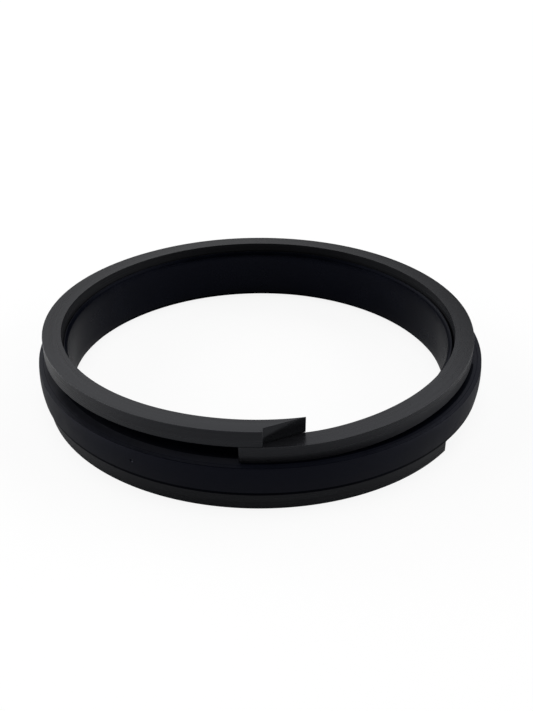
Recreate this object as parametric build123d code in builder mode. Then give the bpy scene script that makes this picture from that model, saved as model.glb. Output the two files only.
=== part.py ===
"""Piston seal set: a rubber sealing ring between two split, scarf-cut backup rings.

Millimetres, +Z up. The origin is the centre of the lower ring, in the plane of its bottom
face. Turns are degrees seen from above, counted from the front (-Y) towards +X, so the
upper ring's split is near turn 0. The set is drawn loose, off its piston: the upper ring
has sprung open and its left end has climbed on its right end.
"""
import math
import os

from build123d import *

# Bore of the cylinder the seal is made for, and the section of both backup rings
BORE_D = 100.0
RING_W = 4.2
RING_T = 3.5

# Scarf cut of both backup rings: a blunt nose on the outer side, then one slanting face
NOSE = 1.25
SCARF_TURN = 10.6

# Lower backup ring: its joint, and its right-hand end sprung in behind the other end's nose
LOW_JOINT = 50.6
LOW_JOINT_GAP = 0.4
LOW_TUCK_GAP = 0.05
LOW_SPRING_FROM = 115.0

# Upper backup ring: shrunk by its overlap, and a little left of the centre
UP_SHRINK = 0.55
UP_SHIFT_X = -0.42
UP_RIGHT_NOSE = -4.5
UP_LEFT_STEP = 0.95
UP_SPARE_TURN = 1.6

# Its height: seated at the split, springing up in a first quick rise, then climbing on its end
SEAT_GAP = 0.05
END_GAP = 0.05
EASE_SPARE = 1.0
EASE_TO = 120.0
EASE_RISE = 1.6
EASE_SOFT = 0.08
CLIMB_FROM = 208.0
CLIMB_SPARE = 2.5
SECTIONS = 64

# Sealing ring: a stem that seals on the cylinder wall, and two thin lips on the piston side
STEM_T = 7.0
STEM_PROUD_TOP = 1.2
STEM_PROUD_MID = 1.35
STEM_PROUD_LOW = 0.9
STEM_LOW_CUT = 1.1
STEM_EDGE = 0.2
LIP_SHIFT_X = -0.55
LIP_W = 0.75
LIP_GAP = 0.125
LIP_UP = 2.95
LIP_DOWN = 2.8
LIP_CUT_R = 0.5
LIP_CUT_Z = 0.7

RING_R = BORE_D / 2
SEAT_Z = RING_T
SHOULDER_Z = SEAT_Z + STEM_T


def at(radius, turn, shift=0.0):
    """Point in plan at a radius and a turn, about an axis shifted along X."""
    a = math.radians(turn)
    return (shift + radius * math.sin(a), -radius * math.cos(a))


def smooth(u):
    """S-shaped step from 0 to 1."""
    u = min(max(u, 0.0), 1.0)
    return u * u * (3 - 2 * u)


# Lower backup ring: the same ring turned over, one flat face from its nose to its sprung end
low_in = RING_R - RING_W
low_spring = NOSE + LOW_TUCK_GAP
right_end = LOW_JOINT + LOW_JOINT_GAP
right_tip = right_end - SCARF_TURN
left_tip = LOW_JOINT + 360 - SCARF_TURN
half_turn = (LOW_SPRING_FROM + LOW_JOINT + 360) / 2


def spring(turn):
    """How far the right-hand end stands inward at a turn."""
    return low_spring * smooth((LOW_SPRING_FROM - turn) / (LOW_SPRING_FROM - LOW_JOINT))


def sprung_edge(radius, first, steps=9):
    """Points along the sprung end, from its free end to where it joins the round part."""
    turns = [first + (LOW_SPRING_FROM - first) * i / steps for i in range(steps + 1)]
    return [at(radius - spring(t), t) for t in turns]


def along(turn):
    """Direction of growing turn, in plan."""
    a = math.radians(turn)
    return (math.cos(a), math.sin(a))


with BuildPart() as lower_backup_ring:
    with BuildSketch(Plane.XY):
        with BuildLine():
            outer = sprung_edge(RING_R, right_end)
            inner = sprung_edge(low_in, right_tip)
            Spline(*outer, tangents=[along(right_end), along(LOW_SPRING_FROM)])
            ThreePointArc(outer[-1], at(RING_R, half_turn), at(RING_R, LOW_JOINT))
            Line(at(RING_R, LOW_JOINT), at(RING_R - NOSE, LOW_JOINT))
            Line(at(RING_R - NOSE, LOW_JOINT), at(low_in, left_tip))
            ThreePointArc(at(low_in, left_tip), at(low_in, half_turn), inner[-1])
            Spline(*inner, tangents=[along(right_tip), along(LOW_SPRING_FROM)])
            step = at(RING_R - spring(right_end) - NOSE, right_end)
            Line(inner[0], step)
            Line(step, outer[0])
        make_face()
    extrude(amount=RING_T)
lower_backup_ring.part.label = "lower_backup_ring"

# Sealing ring: its lips stand just inside the sprung end, about an axis that the end has pushed
lip_r = low_in - low_spring - LIP_GAP - LIP_SHIFT_X * math.sin(math.radians(LOW_JOINT))
bore_r = lip_r - LIP_W
lip_low = SEAT_Z - LIP_DOWN
lip_top = SHOULDER_Z + LIP_UP
stem_low_r = RING_R + STEM_PROUD_LOW
stem_top_r = RING_R + STEM_PROUD_TOP
stem_mid_z = (SEAT_Z + STEM_LOW_CUT + SHOULDER_Z) / 2
with BuildPart() as sealing_ring:
    # Stem, turned as a disc about the set's axis
    with BuildSketch(Plane.XZ):
        with BuildLine():
            low_corner = (stem_low_r, SEAT_Z + STEM_LOW_CUT)
            top_corner = (stem_top_r, SHOULDER_Z - STEM_EDGE)
            Polyline((0, SHOULDER_Z), (0, SEAT_Z), (stem_low_r - STEM_LOW_CUT, SEAT_Z), low_corner)
            ThreePointArc(low_corner, (RING_R + STEM_PROUD_MID, stem_mid_z), top_corner)
            Polyline(top_corner, (stem_top_r - STEM_EDGE, SHOULDER_Z), (0, SHOULDER_Z))
        make_face()
    revolve(axis=Axis.Z)
    # Lips, turned about the bore's own axis, with their bore edges cut back
    with BuildSketch(Plane.XZ):
        with Locations((LIP_SHIFT_X, 0)):
            Polygon((bore_r, lip_low + LIP_CUT_Z), (bore_r + LIP_CUT_R, lip_low), (lip_r, lip_low),
                    (lip_r, lip_top), (bore_r + LIP_CUT_R, lip_top), (bore_r, lip_top - LIP_CUT_Z),
                    align=None)
    revolve(axis=Axis((LIP_SHIFT_X, 0, 0), (0, 0, 1)))
    with BuildSketch(Plane.XY.offset(lip_low)):
        with Locations((LIP_SHIFT_X, 0)):
            Circle(bore_r)
    extrude(amount=lip_top - lip_low, mode=Mode.SUBTRACT)
sealing_ring.part.label = "sealing_ring"

# Upper backup ring: sections lofted along the climb, then both ends cut to the scarf
up_r = RING_R - UP_SHRINK
up_in = up_r - RING_W
first_turn = UP_RIGHT_NOSE - UP_SPARE_TURN
last_turn = UP_LEFT_STEP + 360 + SCARF_TURN + UP_SPARE_TURN
ease_from = UP_LEFT_STEP + SCARF_TURN + EASE_SPARE
climb_to = 360 + UP_RIGHT_NOSE - CLIMB_SPARE
ends_meet_z = SHOULDER_Z + SEAT_GAP + RING_T + END_GAP / 2


def rise(turn):
    """Height of the upper ring above the shoulder, at a turn along its length."""
    u = min(max((turn - ease_from) / (EASE_TO - ease_from), 0.0), 1.0)
    soft = u * u * (1 + EASE_SOFT) / (u + EASE_SOFT)
    eased = EASE_RISE * (1 - (1 - soft) ** 3)
    climb = (RING_T + END_GAP - EASE_RISE) * smooth((turn - CLIMB_FROM) / (climb_to - CLIMB_FROM))
    return SEAT_GAP + eased + climb


def section_plane(turn):
    """Radial plane with its X outward and its Y up, at the middle of the ring's section."""
    a = math.radians(turn)
    x, y = at(up_r - RING_W / 2, turn, UP_SHIFT_X)
    middle = (x, y, SHOULDER_Z + rise(turn) + RING_T / 2)
    return Plane(origin=middle, x_dir=(math.sin(a), -math.cos(a), 0), z_dir=(-math.cos(a), -math.sin(a), 0))


def scarf(nose_turn, beyond_turn):
    """Outline in plan of what goes at one end: all from its scarf line to a turn beyond it."""
    tip_turn = nose_turn + SCARF_TURN
    spare = RING_W / 2
    corners = [(up_r + spare, nose_turn), (up_r - NOSE, nose_turn), (up_in, tip_turn),
               (up_in - spare, tip_turn), (up_in - spare, beyond_turn), (up_r + spare, beyond_turn)]
    return [at(radius, turn, UP_SHIFT_X) for radius, turn in corners]


with BuildPart() as upper_backup_ring:
    for i in range(SECTIONS):
        with BuildSketch(section_plane(first_turn + (last_turn - first_turn) * i / (SECTIONS - 1))):
            Rectangle(RING_W, RING_T)
    loft()
    # Right-hand end, cut below the height at which the ends meet
    with BuildSketch(Plane.XY.offset(ends_meet_z - 2 * RING_T)):
        Polygon(*scarf(UP_RIGHT_NOSE, first_turn - UP_SPARE_TURN), align=None)
    extrude(amount=2 * RING_T, mode=Mode.SUBTRACT)
    # Left-hand end, cut above it
    with BuildSketch(Plane.XY.offset(ends_meet_z)):
        Polygon(*scarf(UP_LEFT_STEP, last_turn + EASE_SPARE / 2 - 360), align=None)
    extrude(amount=2 * RING_T, mode=Mode.SUBTRACT)
upper_backup_ring.part.label = "upper_backup_ring"

os.makedirs("parts", exist_ok=True)
export_step(lower_backup_ring.part, "parts/lower_backup_ring.step")
export_step(sealing_ring.part, "parts/sealing_ring.step")
export_step(upper_backup_ring.part, "parts/upper_backup_ring.step")
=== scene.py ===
"""Looks of a piston seal: a moulded rubber ring of T section between two turned backup rings.

Everything is in metres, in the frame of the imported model. A turn is an angle in degrees
seen from above, counted from the front (-Y) towards +X.
"""
import logging
import math
from collections.abc import Callable, Iterator
from contextlib import contextmanager
from dataclasses import dataclass
from enum import Enum

import bmesh
import bpy
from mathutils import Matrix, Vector


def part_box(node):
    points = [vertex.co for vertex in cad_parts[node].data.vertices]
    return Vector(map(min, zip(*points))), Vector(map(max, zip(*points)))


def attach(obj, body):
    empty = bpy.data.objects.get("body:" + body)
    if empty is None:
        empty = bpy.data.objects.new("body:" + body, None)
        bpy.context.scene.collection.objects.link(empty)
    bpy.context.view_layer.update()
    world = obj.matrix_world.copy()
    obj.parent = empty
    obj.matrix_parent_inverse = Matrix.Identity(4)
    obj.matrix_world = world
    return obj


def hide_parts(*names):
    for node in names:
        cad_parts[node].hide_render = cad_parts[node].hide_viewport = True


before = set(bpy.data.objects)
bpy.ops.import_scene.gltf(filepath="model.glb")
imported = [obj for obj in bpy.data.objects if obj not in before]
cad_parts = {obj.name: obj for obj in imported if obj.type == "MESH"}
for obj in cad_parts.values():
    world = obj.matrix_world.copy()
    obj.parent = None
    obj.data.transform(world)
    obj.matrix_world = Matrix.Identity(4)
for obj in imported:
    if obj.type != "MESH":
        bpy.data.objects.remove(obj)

LOG = logging.getLogger("piston_seal")
MM = 0.001
FULL_TURN = 360.0
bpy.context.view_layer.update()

# The photograph's frame, and the lens that was fitted to it
PHOTO_W, PHOTO_H = 533, 711
FOCAL_PX = 897.9
SENSOR_MM = 36.0

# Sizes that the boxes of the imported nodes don't give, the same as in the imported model
RING_W = 4.2 * MM
NOSE = 1.25 * MM
SCARF_TURN = 10.6
LOW_JOINT = 50.6
LOW_JOINT_GAP = 0.4
STEM_T = 7.0 * MM
STEM_PROUD_TOP = 1.2 * MM
STEM_PROUD_LOW = 0.9 * MM
STEM_LOW_CUT = 1.1 * MM
BORE_R = 44.05 * MM
BORE_SHIFT_X = -0.55 * MM
LIP_W = 0.75 * MM
SEAT_GAP = 0.05 * MM
UP_SHIFT_X = -0.42 * MM
UP_RIGHT_NOSE = -4.5
UP_LEFT_STEP = 0.95

# How much of a unit normal lies along an axis when a face looks that way, when it leans that way,
# and at most along Z when it stands upright
LOOKING = 0.7
LEANING = 0.2
UPRIGHT = 0.3


class Slant(Enum):
    """Which way the inner edge of a scarf cut lies from its nose, along growing turn."""

    AHEAD = 1
    BEHIND = -1


class Face(Enum):
    """Kinds of face on a backup ring, each the number of its material."""

    ROUND = 0
    FLAT = 1
    CUT = 2
    BORE = 3


class Zone(Enum):
    """Parts of the rubber's surface, each the number of its material."""

    BAND = 0
    BORE = 1
    # Faces darkened by an almost glossless finish: painted shade
    PAINTED_SHADE = 2


def linear(hex_colour: str) -> tuple[float, float, float, float]:
    """Turn an sRGB hex colour into the linear values that shaders take.

    Args:
        hex_colour: Six hex digits after a hash sign.

    Returns:
        Red, green, blue and an alpha of 1.
    """
    parts = [int(hex_colour[i:i + 2], 16) / 255 for i in (1, 3, 5)]
    red, green, blue = (p / 12.92 if p <= 0.04045 else ((p + 0.055) / 1.055) ** 2.4 for p in parts)
    return (red, green, blue, 1.0)


def smooth_step(share: float) -> float:
    """S-shaped step from 0 to 1."""
    share = min(max(share, 0.0), 1.0)
    return share * share * (3 - 2 * share)


def in_plan(radius: float, turn: float) -> tuple[float, float]:
    """Point in plan at a radius and a turn."""
    angle = math.radians(turn)
    return (radius * math.sin(angle), -radius * math.cos(angle))


# Finishes


def add_node(tree: bpy.types.NodeTree, kind: str, settings: dict | None = None,
             inputs: dict | None = None) -> bpy.types.Node:
    """Add one node with its settings, values and links.

    Args:
        tree: The node tree it goes into.
        kind: The node's type name.
        settings: Attributes of the node.
        inputs: Socket name or number, to a value or to the output socket that feeds it.

    Returns:
        The new node.
    """
    node = tree.nodes.new(kind)
    for name, value in (settings or {}).items():
        setattr(node, name, value)
    for key, value in (inputs or {}).items():
        named = (socket for socket in node.inputs if socket.enabled and socket.name == key)
        socket = node.inputs[key] if isinstance(key, int) else next(named)
        if isinstance(value, bpy.types.NodeSocket):
            tree.links.new(value, socket)
        else:
            socket.default_value = value
    return node


def result(node: bpy.types.Node) -> bpy.types.NodeSocket:
    """The first output of a node that is in use."""
    return next(socket for socket in node.outputs if socket.enabled)


@dataclass(frozen=True)
class Finish:
    """A surface: its name, and the material that shows it."""

    name: str

    def surface(self, tree: bpy.types.NodeTree) -> bpy.types.NodeSocket:
        """Build the shader in a node tree and return the socket that carries it."""
        raise NotImplementedError

    def material(self) -> bpy.types.Material:
        """Return the material of this finish, made on first use."""
        known = bpy.data.materials.get(self.name)
        if known:
            return known
        made = bpy.data.materials.new(self.name)
        made.use_nodes = True
        made.node_tree.nodes.clear()
        shown = self.surface(made.node_tree)
        add_node(made.node_tree, "ShaderNodeOutputMaterial", inputs={"Surface": shown})
        return made

    def dress(self, piece: bpy.types.Object) -> None:
        """Give a piece this finish all over."""
        piece.data.materials.clear()
        piece.data.materials.append(self.material())


@dataclass(frozen=True)
class TurnedNylon(Finish):
    """Black glass-filled nylon, turned and parted off on a lathe.

    The resin is a flat near-black. The tool leaves fine rings round the part, so its satin
    sheen breaks up into thin streaks along the ring.
    """

    name: str = "glass_filled_nylon_turned"
    uv_map: str = "along_and_across"
    dark: str = "#131315"
    light: str = "#1a1b1d"
    sheen_tint: str = "#f0f3ff"
    ior: float = 1.5
    gloss_level: float = 0.5
    roughness: float = 0.3
    roughness_range: float = 0.05
    # Marks along the ring spread a reflection across it, so the gloss is turned by a quarter
    anisotropy: float = 0.6
    quarter_turn: float = 0.25
    # Real tool marks are about 0.1 mm apart, too fine to show, so these are drawn wider
    mark_mm: float = 0.55
    mark_length_mm: float = 50.0
    mark_octaves: float = 1.5
    mark_depth_mm: float = 0.012
    mark_strength: float = 0.5
    # Wider bands that the marks come in
    band_mm: float = 1.6
    band_length_mm: float = 90.0
    band_octaves: float = 1.0
    octave_share: float = 0.6
    # Both noises add up to about 1. This far from 1, tone and gloss reach their ends.
    swing: float = 0.25

    def streaks(self, tree: bpy.types.NodeTree, pitch_mm: float, length_mm: float,
                octaves: float) -> bpy.types.NodeSocket:
        """Noise drawn out along the ring.

        Args:
            tree: The material's node tree.
            pitch_mm: How far apart the streaks are across the ring.
            length_mm: How long a streak is along the ring.
            octaves: How many octaves of finer noise it has.

        Returns:
            The noise's value, about 0.5 on average.
        """
        uv = add_node(tree, "ShaderNodeUVMap", {"uv_map": self.uv_map})
        scale = (1 / (length_mm * MM), 1 / (pitch_mm * MM), 1.0)
        drawn = add_node(tree, "ShaderNodeMapping", inputs={"Vector": result(uv), "Scale": scale})
        noise = add_node(tree, "ShaderNodeTexNoise", {"noise_dimensions": "2D"}, {
            "Vector": result(drawn), "Scale": 1.0, "Detail": octaves, "Roughness": self.octave_share})
        return result(noise)

    def spread(self, tree: bpy.types.NodeTree, value: bpy.types.NodeSocket, low: float,
               high: float) -> bpy.types.NodeSocket:
        """Spread the sum of both noises over a range.

        Args:
            tree: The material's node tree.
            value: The sum, about 1 on average.
            low: What a low sum gives.
            high: What a high sum gives.

        Returns:
            The value within that range.
        """
        return result(add_node(tree, "ShaderNodeMapRange", inputs={
            "Value": value, "From Min": 1 - self.swing, "From Max": 1 + self.swing,
            "To Min": low, "To Max": high}))

    def surface(self, tree: bpy.types.NodeTree) -> bpy.types.NodeSocket:
        """Satin resin whose tone, gloss and height follow the tool marks."""
        marks = self.streaks(tree, self.mark_mm, self.mark_length_mm, self.mark_octaves)
        bands = self.streaks(tree, self.band_mm, self.band_length_mm, self.band_octaves)
        both = result(add_node(tree, "ShaderNodeMath", {"operation": "ADD"}, {0: marks, 1: bands}))
        tone = self.spread(tree, both, 0.0, 1.0)
        colour = add_node(tree, "ShaderNodeMix", {"data_type": "RGBA"}, {
            "Factor": tone, "A": linear(self.dark), "B": linear(self.light)})
        dullest, glossiest = self.roughness + self.roughness_range, self.roughness - self.roughness_range
        gloss = self.spread(tree, both, dullest, glossiest)
        relief = add_node(tree, "ShaderNodeBump", inputs={
            "Height": marks, "Strength": self.mark_strength, "Distance": self.mark_depth_mm * MM})
        along = add_node(tree, "ShaderNodeTangent", {"direction_type": "UV_MAP", "uv_map": self.uv_map})
        shader = add_node(tree, "ShaderNodeBsdfPrincipled", inputs={
            "Base Color": result(colour), "Roughness": gloss, "IOR": self.ior,
            "Specular IOR Level": self.gloss_level, "Specular Tint": linear(self.sheen_tint),
            "Anisotropic": self.anisotropy, "Anisotropic Rotation": self.quarter_turn,
            "Tangent": result(along), "Normal": result(relief)})
        return result(shader)


@dataclass(frozen=True)
class MouldedNitrile(Finish):
    """Black nitrile rubber, moulded in a polished tool.

    Carbon black makes it the darkest surface of the seal, faintly blue. It is smooth but
    soft-looking, with a cloudy bloom and a fine grain.
    """

    name: str = "nitrile_rubber_moulded"
    dark: str = "#020308"
    light: str = "#04060d"
    sheen_tint: str = "#d4d9ff"
    ior: float = 1.5
    gloss_level: float = 0.24
    roughness: float = 0.45
    roughness_range: float = 0.06
    bloom_mm: float = 7.0
    bloom_octaves: float = 4.0
    # Values of the bloom's noise, about 0.5 on average, at which tone and gloss reach their ends
    tone_span: tuple[float, float] = (0.35, 0.7)
    gloss_span: tuple[float, float] = (0.3, 0.7)
    grain_mm: float = 0.35
    grain_octaves: float = 2.0
    grain_depth_mm: float = 0.01
    grain_strength: float = 0.4
    # A fine matt line round the shoulder, where the halves of the mould met
    line_r_mm: float = 50.25
    line_w_mm: float = 0.3
    # One small pit in the band, left of the front
    pit_mm: tuple[float, float, float] = (-25.2, -44.7, 7.9)
    pit_size_mm: float = 0.9
    pit_depth_mm: float = 0.3

    def near(self, tree: bpy.types.NodeTree, distance: bpy.types.NodeSocket, middle_mm: float,
             full_mm: float, fade_mm: float) -> bpy.types.NodeSocket:
        """Share of a mark at a point.

        Args:
            tree: The material's node tree.
            distance: How far the point is from the mark's axis or middle.
            middle_mm: The distance at which the middle of the mark lies.
            full_mm: How far from there the mark is whole.
            fade_mm: How far beyond that it fades out.

        Returns:
            The share, from 0 to 1.
        """
        apart = add_node(tree, "ShaderNodeMath", {"operation": "SUBTRACT"}, {
            0: distance, 1: middle_mm * MM})
        size = add_node(tree, "ShaderNodeMath", {"operation": "ABSOLUTE"}, {0: result(apart)})
        share = add_node(tree, "ShaderNodeMapRange", {"interpolation_type": "SMOOTHSTEP"}, {
            "Value": result(size), "From Min": full_mm * MM, "From Max": (full_mm + fade_mm) * MM,
            "To Min": 1.0, "To Max": 0.0})
        return result(share)

    def radius(self, tree: bpy.types.NodeTree) -> bpy.types.NodeSocket:
        """Distance of a point from the ring's axis."""
        place = add_node(tree, "ShaderNodeTexCoord")
        flat = add_node(tree, "ShaderNodeVectorMath", {"operation": "MULTIPLY"}, {
            0: place.outputs["Object"], 1: (1.0, 1.0, 0.0)})
        return result(add_node(tree, "ShaderNodeVectorMath", {"operation": "LENGTH"}, {0: result(flat)}))

    def pit(self, tree: bpy.types.NodeTree) -> bpy.types.NodeSocket:
        """Share of the pit at a point: whole over a third of its radius, then fading out."""
        place = add_node(tree, "ShaderNodeTexCoord")
        middle = tuple(part * MM for part in self.pit_mm)
        away = add_node(tree, "ShaderNodeVectorMath", {"operation": "DISTANCE"}, {
            0: place.outputs["Object"], 1: middle})
        whole = self.pit_size_mm / 6
        return self.near(tree, result(away), 0.0, whole, 2 * whole)

    def noise(self, tree: bpy.types.NodeTree, size_mm: float, octaves: float) -> bpy.types.NodeSocket:
        """Even noise in the piece's own space.

        Args:
            tree: The material's node tree.
            size_mm: The real size of its features.
            octaves: How many octaves of finer noise it has.

        Returns:
            The noise's value, about 0.5 on average.
        """
        place = add_node(tree, "ShaderNodeTexCoord")
        spots = add_node(tree, "ShaderNodeTexNoise", inputs={
            "Vector": place.outputs["Object"], "Scale": 1 / (size_mm * MM), "Detail": octaves})
        return result(spots)

    def surface(self, tree: bpy.types.NodeTree) -> bpy.types.NodeSocket:
        """Dull rubber with cloudy bloom and a fine moulded grain."""
        bloom = self.noise(tree, self.bloom_mm, self.bloom_octaves)
        grain = self.noise(tree, self.grain_mm, self.grain_octaves)
        tone = add_node(tree, "ShaderNodeMapRange", inputs={
            "Value": bloom, "From Min": self.tone_span[0], "From Max": self.tone_span[1]})
        colour = add_node(tree, "ShaderNodeMix", {"data_type": "RGBA"}, {
            "Factor": result(tone), "A": linear(self.dark), "B": linear(self.light)})
        gloss = add_node(tree, "ShaderNodeMapRange", inputs={
            "Value": bloom, "From Min": self.gloss_span[0], "From Max": self.gloss_span[1],
            "To Min": self.roughness - self.roughness_range,
            "To Max": self.roughness + self.roughness_range})
        line = self.near(tree, self.radius(tree), self.line_r_mm, 0.0, self.line_w_mm / 2)
        pit = self.pit(tree)
        matt = add_node(tree, "ShaderNodeMath", {"operation": "MAXIMUM"}, {0: line, 1: pit})
        dulled = add_node(tree, "ShaderNodeMath", {"operation": "MAXIMUM"}, {
            0: result(gloss), 1: result(matt)})
        grainy = add_node(tree, "ShaderNodeBump", inputs={
            "Height": grain, "Strength": self.grain_strength, "Distance": self.grain_depth_mm * MM})
        relief = add_node(tree, "ShaderNodeBump", {"invert": True}, {
            "Height": pit, "Strength": 1.0, "Distance": self.pit_depth_mm * MM, "Normal": result(grainy)})
        shader = add_node(tree, "ShaderNodeBsdfPrincipled", inputs={
            "Base Color": result(colour), "Roughness": result(dulled),
            "IOR": self.ior, "Specular IOR Level": self.gloss_level,
            "Specular Tint": linear(self.sheen_tint), "Normal": result(relief)})
        return result(shader)


@dataclass(frozen=True)
class StudioFloor(Finish):
    """Pale matt board that the camera sees as white, with a soft shadow left on it."""

    name: str = "studio_board"
    board: str = "#a4a4a4"
    whiteness: float = 0.88
    glow: float = 1.0

    def surface(self, tree: bpy.types.NodeTree) -> bpy.types.NodeSocket:
        """Grey board for bounced light; white, a little shaded, for the camera."""
        board = add_node(tree, "ShaderNodeBsdfDiffuse", inputs={"Color": linear(self.board)})
        shaded = add_node(tree, "ShaderNodeBsdfDiffuse", inputs={"Color": linear("#ffffff")})
        white = add_node(tree, "ShaderNodeEmission", inputs={"Strength": self.glow})
        seen = add_node(tree, "ShaderNodeMixShader", inputs={
            0: self.whiteness, 1: result(shaded), 2: result(white)})
        path = add_node(tree, "ShaderNodeLightPath")
        both = add_node(tree, "ShaderNodeMixShader", inputs={
            0: path.outputs["Is Camera Ray"], 1: result(board), 2: result(seen)})
        return result(both)


# Modelling helpers


def deselect_all() -> None:
    """Leave nothing selected, as an operator acts on all that is."""
    if bpy.context.view_layer.objects.active and bpy.context.object.mode != "OBJECT":
        bpy.ops.object.mode_set(mode="OBJECT")
    bpy.ops.object.select_all(action="DESELECT")


def start_piece(name: str, scale: tuple[float, float, float] = (1.0, 1.0, 1.0)) -> bpy.types.Object:
    """Name the primitive that was just added, and put its place and size into its mesh.

    Args:
        name: The name of the piece and its mesh.
        scale: How much it grows along each axis.

    Returns:
        The piece.
    """
    piece = bpy.context.object
    piece.name = piece.data.name = name
    piece.scale = scale
    bpy.ops.object.transform_apply(location=True, rotation=True, scale=True)
    return piece


@contextmanager
def edit_mode(piece: bpy.types.Object) -> Iterator[None]:
    """Hold a piece in edit mode, alone, with nothing on it selected."""
    deselect_all()
    piece.select_set(True)
    bpy.context.view_layer.objects.active = piece
    bpy.ops.object.mode_set(mode="EDIT")
    bpy.ops.mesh.select_mode(type="VERT")
    bpy.ops.mesh.select_all(action="DESELECT")
    try:
        yield
    finally:
        bpy.ops.object.mode_set(mode="OBJECT")


def pick(piece: bpy.types.Object, wanted: Callable[[Vector], bool]) -> None:
    """Select, in edit mode, the vertices whose place passes a test, and what they span.

    Args:
        piece: The piece that is in edit mode.
        wanted: The test, which gets a vertex's place.
    """
    bpy.ops.mesh.select_mode(type="VERT")
    bpy.ops.mesh.select_all(action="DESELECT")
    grid = bmesh.from_edit_mesh(piece.data)
    for vertex in grid.verts:
        vertex.select = wanted(vertex.co)
    grid.select_flush(True)
    bmesh.update_edit_mesh(piece.data)


def pick_edges(piece: bpy.types.Object, wanted: Callable[[Vector, Vector], bool]) -> None:
    """Select, in edit mode, the edges whose two ends pass a test.

    Args:
        piece: The piece that is in edit mode.
        wanted: The test, which gets the places of both ends.
    """
    bpy.ops.mesh.select_mode(type="EDGE")
    bpy.ops.mesh.select_all(action="DESELECT")
    grid = bmesh.from_edit_mesh(piece.data)
    for edge in grid.edges:
        edge.select = wanted(edge.verts[0].co, edge.verts[1].co)
    bmesh.update_edit_mesh(piece.data)


def apply_modifier(piece: bpy.types.Object, kind: str, **settings: object) -> None:
    """Put a modifier on a piece and apply it.

    Args:
        piece: The piece, which becomes the active object.
        kind: The modifier's type name.
        settings: Its values.
    """
    deselect_all()
    piece.select_set(True)
    bpy.context.view_layer.objects.active = piece
    modifier = piece.modifiers.new(kind.lower(), kind)
    for name, value in settings.items():
        setattr(modifier, name, value)
    bpy.ops.object.modifier_apply(modifier=modifier.name)


def shade(piece: bpy.types.Object, sharp_over: float = 40.0) -> None:
    """Shade a piece smooth, apart from its edges sharper than an angle in degrees."""
    deselect_all()
    piece.select_set(True)
    bpy.context.view_layer.objects.active = piece
    bpy.ops.object.shade_smooth_by_angle(angle=math.radians(sharp_over))
    apply_modifier(piece, "WEIGHTED_NORMAL", keep_sharp=True)


# The rings


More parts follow.
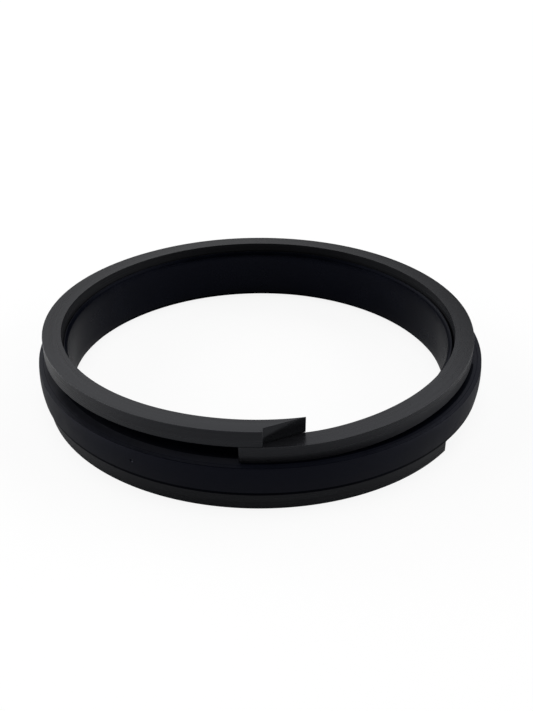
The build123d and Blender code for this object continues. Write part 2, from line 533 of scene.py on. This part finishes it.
@dataclass
class BackupRing:
    """A split backup ring: a bar with scarf-cut ends, bent round the seal.

    The bar lies along X, where a place along it is a turn. Its -Y side becomes the outer face.
    """

    node: str
    outer_r: float
    width: float
    thickness: float
    nose: float
    scarf_turn: float
    first_turn: float
    last_turn: float
    slant: Slant
    finish: TurnedNylon = TurnedNylon()
    flat_finish: TurnedNylon = TurnedNylon("glass_filled_nylon_faced", roughness=0.26, anisotropy=0.0,
                                           roughness_range=0.015, mark_depth_mm=0.0015)
    cut_finish: TurnedNylon = TurnedNylon("glass_filled_nylon_knife_cut", roughness=0.16, anisotropy=0.0,
                                          roughness_range=0.02, mark_depth_mm=0.001)
    # Painted shade: the bore face's weak gloss darkens the ring's inner face, which stands in shade
    bore_finish: TurnedNylon = TurnedNylon("glass_filled_nylon_bore_painted_shade", gloss_level=0.1)
    # Edges that turn by more than this angle are broken
    break_over: float = 30.0
    edge_break: float = 0.06 * MM
    nose_break: float = 0.25 * MM
    # The bar is cut this often along its length, and then each part of it as often again
    cuts: int = 22
    # Turn between two points of the path that the bar is bent along
    path_step: float = 1.0

    @property
    def mid_r(self) -> float:
        """Radius of the line along the middle of the section."""
        return self.outer_r - self.width / 2

    def centre_line(self, turn: float) -> Vector:
        """Middle of the section at a turn along the ring."""
        raise NotImplementedError

    def along(self, turn: float) -> float:
        """Place along the bar that becomes a turn."""
        return self.mid_r * math.radians(turn - self.first_turn + self.scarf_turn)

    def bar(self) -> bpy.types.Object:
        """Make the straight bar with a scarf cut at each end."""
        start, end = self.along(self.first_turn), self.along(self.last_turn)
        deselect_all()
        bpy.ops.mesh.primitive_cube_add(size=1, location=((start + end) / 2, 0, 0))
        piece = start_piece(self.node + "_turned", (end - start, self.width, self.thickness))
        nose_y = self.nose - self.width / 2
        reach = self.slant.value * self.mid_r * math.radians(self.scarf_turn)
        near = self.nose / 9
        with edit_mode(piece):
            bpy.ops.mesh.select_all(action="SELECT")
            bpy.ops.mesh.bisect(plane_co=(0, nose_y, 0), plane_no=(0, 1, 0))
            pick(piece, lambda place: place.y > nose_y + near)
            bpy.ops.transform.translate(value=(reach, 0, 0))
            for _ in range(2):
                pick_edges(piece, lambda a, b: max(abs(a.y - b.y), abs(a.z - b.z)) < near)
                bpy.ops.mesh.subdivide(number_cuts=self.cuts)
            pick_edges(piece, lambda a, b: max(a.y, b.y) < nose_y - near and abs(a.x - b.x) < near
                       and min(abs(a.x - start), abs(a.x - end)) < near)
            bpy.ops.mesh.bevel(offset=self.nose_break, segments=3, affect="EDGES")
        return piece

    def kind(self, face: bpy.types.MeshPolygon) -> Face:
        """Kind of a face of the bar, by where it looks."""
        if abs(face.normal.x) > LEANING and abs(face.normal.z) < UPRIGHT:
            return Face.CUT
        if face.normal.y > LOOKING:
            return Face.BORE
        return Face.FLAT if abs(face.normal.z) > LOOKING else Face.ROUND

    def dress(self, piece: bpy.types.Object) -> None:
        """Give the bar its turned finish, and its flat faces, scarf cuts and bore face their own."""
        self.finish.dress(piece)
        for finish in (self.flat_finish, self.cut_finish, self.bore_finish):
            piece.data.materials.append(finish.material())
        for face in piece.data.polygons:
            face.material_index = self.kind(face).value

    def lay_uv(self, piece: bpy.types.Object) -> None:
        """Map each face along the bar and across it, for the tool marks to follow.

        Flat faces, upright faces and cuts each have their own stretch of the map, so that their
        marks differ.
        """
        layer = piece.data.uv_layers[0] if piece.data.uv_layers else piece.data.uv_layers.new()
        layer.name = self.finish.uv_map
        for face in piece.data.polygons:
            flat = abs(face.normal.z) > LOOKING
            shift = self.width if self.kind(face) is Face.CUT else 0
            for corner in face.loop_indices:
                place = piece.data.vertices[piece.data.loops[corner].vertex_index].co
                across = place.y if flat else place.z + 2 * self.width
                layer.data[corner].uv = (place.x, across + shift)

    def bend(self, piece: bpy.types.Object) -> None:
        """Bend the bar along the ring's centre line."""
        path = bpy.data.curves.new(self.node + "_path", "CURVE")
        path.dimensions = "3D"
        path.twist_mode = "Z_UP"
        line = path.splines.new("POLY")
        start, end = self.first_turn - self.scarf_turn, self.last_turn + self.scarf_turn
        steps = round((end - start) / self.path_step)
        line.points.add(steps)
        for i, point in enumerate(line.points):
            point.co = (*self.centre_line(start + (end - start) * i / steps), 1.0)
        guide = bpy.data.objects.new(path.name, path)
        bpy.context.scene.collection.objects.link(guide)
        apply_modifier(piece, "CURVE", object=guide, deform_axis="POS_X")
        bpy.data.objects.remove(guide)

    def build(self) -> None:
        """Build the ring, dress it and let it stand for its node."""
        piece = self.bar()
        apply_modifier(piece, "BEVEL", width=self.edge_break, segments=2, limit_method="ANGLE",
                       angle_limit=math.radians(self.break_over))
        self.lay_uv(piece)
        self.dress(piece)
        self.bend(piece)
        shade(piece)
        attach(piece, "root")
        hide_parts(self.node)
        LOG.info("%s: %d faces", piece.name, len(piece.data.polygons))


@dataclass
class LowerBackupRing(BackupRing):
    """The ring that the set lies on, its right-hand end sprung in behind the other."""

    # Its round face gets less gloss than the upper ring's: painted shade, for the shaded board close by
    # that it mirrors
    finish: TurnedNylon = TurnedNylon("glass_filled_nylon_turned_painted_shade", gloss_level=0.4)
    tuck_gap: float = 0.05 * MM
    spring_from: float = 115.0

    def spring(self, turn: float) -> float:
        """How far the right-hand end stands inward at a turn."""
        reach = self.spring_from - self.first_turn
        return (self.nose + self.tuck_gap) * smooth_step((self.spring_from - turn) / reach)

    def centre_line(self, turn: float) -> Vector:
        """Middle of the section: a flat circle, but for the sprung end."""
        return Vector((*in_plan(self.mid_r - self.spring(turn), turn), self.thickness / 2))


@dataclass
class UpperBackupRing(BackupRing):
    """The sprung ring on the rubber's shoulder, whose left end has climbed on its right end."""

    seat_z: float = 0.0
    shift_x: float = 0.0
    end_gap: float = 0.05 * MM
    # It springs up in a first quick rise from its seated end, and later climbs on that end
    ease_rise: float = 1.6 * MM
    ease_soft: float = 0.08
    ease_spare: float = 1.0
    ease_to: float = 120.0
    climb_from: float = 208.0
    climb_spare: float = 2.5

    def rise(self, turn: float) -> float:
        """Height above the seat at a turn along the ring's length."""
        ease_from = self.last_turn - FULL_TURN + self.scarf_turn + self.ease_spare
        climb_to = FULL_TURN + self.first_turn - self.climb_spare
        share = min(max((turn - ease_from) / (self.ease_to - ease_from), 0.0), 1.0)
        soft = share * share * (1 + self.ease_soft) / (share + self.ease_soft)
        climb = smooth_step((turn - self.climb_from) / (climb_to - self.climb_from))
        climb_rise = self.thickness + self.end_gap - self.ease_rise
        return self.ease_rise * (1 - (1 - soft) ** 3) + climb_rise * climb

    def centre_line(self, turn: float) -> Vector:
        """Middle of the section: a circle that climbs from one end to the other."""
        x, y = in_plan(self.mid_r, turn)
        return Vector((x + self.shift_x, y, self.seat_z + self.rise(turn) + self.thickness / 2))


@dataclass
class SealingRing:
    """The rubber ring of T section: a stem out to the cylinder, and two lips at its bore."""

    node: str
    base_z: float
    shoulder_z: float
    top_r: float
    mid_r: float
    low_r: float
    low_cut: float
    bore_r: float
    bore_shift_x: float
    lip_w: float
    lip_low: float
    lip_top: float
    lip_cut_r: float = 0.5 * MM
    lip_cut_z: float = 0.7 * MM
    top_round: float = 0.06 * MM
    bulge_cuts: int = 11
    steps: int = 540
    # Places closer than this count as one
    near: float = 0.022 * MM
    finish: MouldedNitrile = MouldedNitrile()
    # The mould's polished core left the bore smoother; its gloss is also set a little lower, a painted
    # shade on the bore's wall
    bore_finish: MouldedNitrile = MouldedNitrile("nitrile_rubber_polished_painted_shade", gloss_level=0.2,
                                                 roughness=0.24)
    # Painted shade: almost no gloss darkens the shoulder under the upper ring and the chamfer above the
    # lower ring, where shade falls, and keeps highlights off the lips' cut edges and the shoulder's corner
    painted_shade_finish: MouldedNitrile = MouldedNitrile("nitrile_rubber_painted_shade", gloss_level=0.03)
    painted_shade_r: float = 48.2 * MM
    # Under the upper ring's seated end the painted shade comes out in front of it, round that ring's
    # centre
    seated_painted_shade_r: float = 49.9 * MM
    seated_shift_x: float = UP_SHIFT_X
    seated_from: float = UP_RIGHT_NOSE
    seated_to: float = 75.0

    def stem(self) -> bpy.types.Object:
        """Make the stem's section, a plane standing at turn 90."""
        inner, outer = self.bore_r, self.top_r
        middle = ((inner + outer) / 2, 0, (self.base_z + self.shoulder_z) / 2)
        deselect_all()
        bpy.ops.mesh.primitive_plane_add(size=1, location=middle, rotation=(math.pi / 2, 0, 0))
        return start_piece(self.node + "_moulded", (outer - inner, self.shoulder_z - self.base_z, 1))

    def bulge(self, z: float) -> float:
        """Radius of the stem's outer side at a height: a parabola through its three radii."""
        share = (z - self.base_z) / (self.shoulder_z - self.base_z)
        straight = self.low_r + (self.top_r - self.low_r) * share
        proud = self.mid_r - (self.low_r + self.top_r) / 2
        return straight + proud * (1 - (2 * share - 1) ** 2)

    def section(self) -> bpy.types.Object:
        """Grow the lips from the stem, their bore edges cut back, and cut up its outer side."""
        piece = self.stem()
        lip_r = self.bore_r + self.lip_w
        near = self.near
        with edit_mode(piece):
            bpy.ops.mesh.select_all(action="SELECT")
            bpy.ops.mesh.bisect(plane_co=(lip_r, 0, 0), plane_no=(1, 0, 0))
            for tip_z, root_z, up in ((self.lip_top, self.shoulder_z, 1), (self.lip_low, self.base_z, -1)):
                pick(piece, lambda p: p.x < lip_r + near and abs(p.z - root_z) < near)
                straight = abs(tip_z - root_z) - self.lip_cut_z
                for length in (straight, self.lip_cut_z):
                    reach = (0, 0, up * length)
                    bpy.ops.mesh.extrude_region_move(TRANSFORM_OT_translate={"value": reach})
                pick(piece, lambda p: p.x < lip_r - near and abs(p.z - tip_z) < near)
                bpy.ops.transform.translate(value=(self.lip_cut_r, 0, 0))
            pick(piece, lambda p: p.x > self.top_r - near)
            bpy.ops.mesh.subdivide(number_cuts=self.bulge_cuts)
        return piece

    def zone(self, place: Vector) -> Zone:
        """Part of the surface to which a face belongs.

        Args:
            place: The middle of the face.

        Returns:
            The zone, whose value is the number of its material.
        """
        from_axis = math.hypot(place.x, place.y)
        from_bore = math.hypot(place.x - self.bore_shift_x, place.y)
        if from_bore < self.bore_r + self.near:
            return Zone.BORE
        turn = math.degrees(math.atan2(place.x, -place.y))
        # How far out on the shoulder the painted shade reaches; further out under the seated end
        painted_shade_r = self.seated_painted_shade_r if self.seated_from < turn < self.seated_to else self.painted_shade_r
        on_cut = from_bore < self.bore_r + self.lip_cut_r
        on_shoulder = abs(place.z - self.shoulder_z) < self.near and from_axis < painted_shade_r
        outside = from_axis > self.low_r - self.low_cut
        on_chamfer = outside and self.base_z < place.z < self.base_z + self.low_cut
        # The rounded corner's faces lie a hair below the shoulder, which keeps the flat ring out
        corner_top = self.shoulder_z - self.top_round / 30
        on_corner = outside and corner_top - self.top_round < place.z < corner_top
        return Zone.PAINTED_SHADE if on_cut or on_shoulder or on_chamfer or on_corner else Zone.BAND

    def dress(self, piece: bpy.types.Object) -> None:
        """Give each zone of the ring its finish."""
        self.finish.dress(piece)
        for finish in (self.bore_finish, self.painted_shade_finish):
            piece.data.materials.append(finish.material())
        for face in piece.data.polygons:
            face.material_index = self.zone(face.center).value

    def trim(self, piece: bpy.types.Object) -> None:
        """Bulge the section's outer side, finish its corners and mark where the painted shade ends."""
        for vertex in piece.data.vertices:
            if vertex.co.x > self.top_r - self.near:
                vertex.co.x = self.bulge(vertex.co.z)
        outer, shoulder = self.low_r - self.near, self.bore_r + self.lip_w - self.near
        with edit_mode(piece):
            pick(piece, lambda p: p.x > outer and abs(p.z - self.shoulder_z) < self.near)
            bpy.ops.mesh.bevel(offset=self.top_round, segments=3, affect="VERTICES")
            pick(piece, lambda p: p.x > outer and abs(p.z - self.base_z) < self.near)
            bpy.ops.mesh.bevel(offset=self.low_cut, segments=1, affect="VERTICES")
            # Edge loops where the painted shade on the shoulder ends
            for radius in (self.painted_shade_r, self.seated_painted_shade_r):
                pick(piece, lambda p: p.x > shoulder and abs(p.z - self.shoulder_z) < self.near)
                bpy.ops.mesh.bisect(plane_co=(radius, 0, 0), plane_no=(1, 0, 0))

    def spin(self, piece: bpy.types.Object) -> None:
        """Spin the section's outline into the ring, with its lips about the bore's own axis."""
        with edit_mode(piece):
            bpy.ops.mesh.select_all(action="SELECT")
            bpy.ops.mesh.dissolve_faces()
            bpy.ops.mesh.delete(type="ONLY_FACE")
            bpy.ops.mesh.select_all(action="SELECT")
            bpy.ops.mesh.spin(steps=self.steps, angle=2 * math.pi, center=(0, 0, 0), axis=(0, 0, 1))
            bpy.ops.mesh.select_all(action="SELECT")
            bpy.ops.mesh.remove_doubles(threshold=self.near / 11)
            bpy.ops.mesh.normals_make_consistent(inside=False)
            lip_edge = self.bore_r + self.lip_w + self.near
            pick(piece, lambda p: math.hypot(p.x, p.y) < lip_edge)
            bpy.ops.transform.translate(value=(self.bore_shift_x, 0, 0))
            # The painted shade's edge under the seated end goes round the upper ring's centre
            pick(piece, lambda p: abs(p.z - self.shoulder_z) < self.near
                 and abs(math.hypot(p.x, p.y) - self.seated_painted_shade_r) < self.near)
            bpy.ops.transform.translate(value=(self.seated_shift_x, 0, 0))

    def build(self) -> None:
        """Build the ring, dress it and let it stand for its node."""
        piece = self.section()
        self.trim(piece)
        self.spin(piece)
        shade(piece)
        self.dress(piece)
        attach(piece, "root")
        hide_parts(self.node)
        LOG.info("%s: %d faces", piece.name, len(piece.data.polygons))


# The studio


@dataclass(frozen=True)
class SoftBox:
    """A round lamp that points at the seal.

    Its azimuth and elevation are in degrees: the azimuth from straight behind the seal towards
    +X, the elevation from the board. Its size is its diameter in metres.
    """

    name: str
    azimuth: float
    elevation: float
    watts: float
    size: float = 1.75
    distance: float = 2.5

    def hang(self) -> None:
        """Hang the lamp, unseen by the camera."""
        around, up = math.radians(self.azimuth), math.radians(self.elevation)
        way = Vector((math.sin(around) * math.cos(up), math.cos(around) * math.cos(up), math.sin(up)))
        light = bpy.data.lights.new(self.name, "AREA")
        light.shape = "DISK"
        light.size = self.size
        light.energy = self.watts
        lamp = bpy.data.objects.new(self.name, light)
        lamp.location = way * self.distance
        lamp.rotation_euler = way.to_track_quat("Z", "Y").to_euler()
        lamp.visible_camera = False
        bpy.context.scene.collection.objects.link(lamp)


@dataclass
class Studio:
    """Pale board, soft light all round and the camera, at the photograph's angle."""

    # The camera's place, and its aim in degrees, fitted to the outlines in the photograph
    camera_y: float = -186.56 * MM
    camera_z: float = 112.26 * MM
    look_down: float = 29.738
    look_right: float = 0.435
    board_size: float = 4.0
    world_strength: float = 0.03
    lamps: tuple[SoftBox, ...] = (
        SoftBox("back_left_box", -45, 15, 40.0),
        SoftBox("back_right_box", 45, 40, 12.0),
        SoftBox("back_box", -5, 40, 5.2),
        SoftBox("left_box", -90, 15, 56.0, size=2.6),
        SoftBox("right_box", 90, 15, 64.0, size=2.6),
        SoftBox("top_box", 0, 90, 20.0),
    )

    def board(self) -> None:
        """Lay the board that the seal lies on."""
        deselect_all()
        bpy.ops.mesh.primitive_plane_add(size=self.board_size, location=(0, 0, 0))
        floor = start_piece("studio_board")
        StudioFloor().dress(floor)

    def world(self) -> None:
        """Even grey light all round, seen by the camera as white."""
        world = bpy.data.worlds.new("studio_air")
        world.use_nodes = True
        tree = world.node_tree
        tree.nodes.clear()
        path = add_node(tree, "ShaderNodeLightPath")
        strength = add_node(tree, "ShaderNodeMapRange", inputs={
            "Value": path.outputs["Is Camera Ray"], "To Min": self.world_strength, "To Max": 1.0})
        light = add_node(tree, "ShaderNodeBackground", inputs={
            "Color": linear("#ffffff"), "Strength": result(strength)})
        add_node(tree, "ShaderNodeOutputWorld", inputs={"Surface": result(light)})
        bpy.context.scene.world = world

    def camera(self) -> None:
        """Stand the camera where the photograph was taken from."""
        down, right = math.radians(self.look_down), math.radians(self.look_right)
        ahead = math.cos(down)
        view = Vector((math.sin(right) * ahead, math.cos(right) * ahead, -math.sin(down)))
        lens = bpy.data.cameras.new("camera")
        lens.sensor_width = SENSOR_MM
        lens.lens = FOCAL_PX * SENSOR_MM / max(PHOTO_W, PHOTO_H)
        lens.clip_start = 10 * MM
        camera = bpy.data.objects.new("camera", lens)
        camera.location = (0, self.camera_y, self.camera_z)
        camera.rotation_euler = view.to_track_quat("-Z", "Y").to_euler()
        bpy.context.scene.collection.objects.link(camera)
        bpy.context.scene.camera = camera

    def build(self) -> None:
        """Set the whole studio up."""
        self.board()
        self.world()
        for lamp in self.lamps:
            lamp.hang()
        self.camera()
        bpy.context.scene.view_settings.view_transform = "Standard"
        LOG.info("studio set up")


def main() -> None:
    """Build the seal's rings in order, and the studio round them."""
    logging.basicConfig(level=logging.INFO, format="%(name)s: %(message)s")
    _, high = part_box("lower_backup_ring")
    ring_r, ring_t = high.y, high.z
    shoulder_z = ring_t + STEM_T
    shared = {"width": RING_W, "thickness": ring_t, "nose": NOSE, "scarf_turn": SCARF_TURN}
    LowerBackupRing(node="lower_backup_ring", outer_r=ring_r, first_turn=LOW_JOINT + LOW_JOINT_GAP,
                    last_turn=LOW_JOINT + FULL_TURN, slant=Slant.BEHIND, **shared).build()
    low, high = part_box("sealing_ring")
    SealingRing(node="sealing_ring", base_z=ring_t, shoulder_z=shoulder_z,
                top_r=ring_r + STEM_PROUD_TOP, mid_r=high.x, low_r=ring_r + STEM_PROUD_LOW,
                low_cut=STEM_LOW_CUT, bore_r=BORE_R, bore_shift_x=BORE_SHIFT_X, lip_w=LIP_W,
                lip_low=low.z, lip_top=high.z).build()
    _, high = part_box("upper_backup_ring")
    UpperBackupRing(node="upper_backup_ring", outer_r=high.y, first_turn=UP_RIGHT_NOSE,
                    last_turn=UP_LEFT_STEP + FULL_TURN, slant=Slant.AHEAD,
                    seat_z=shoulder_z + SEAT_GAP, shift_x=UP_SHIFT_X, **shared).build()
    Studio().build()


if __name__ == "__main__":
    main()
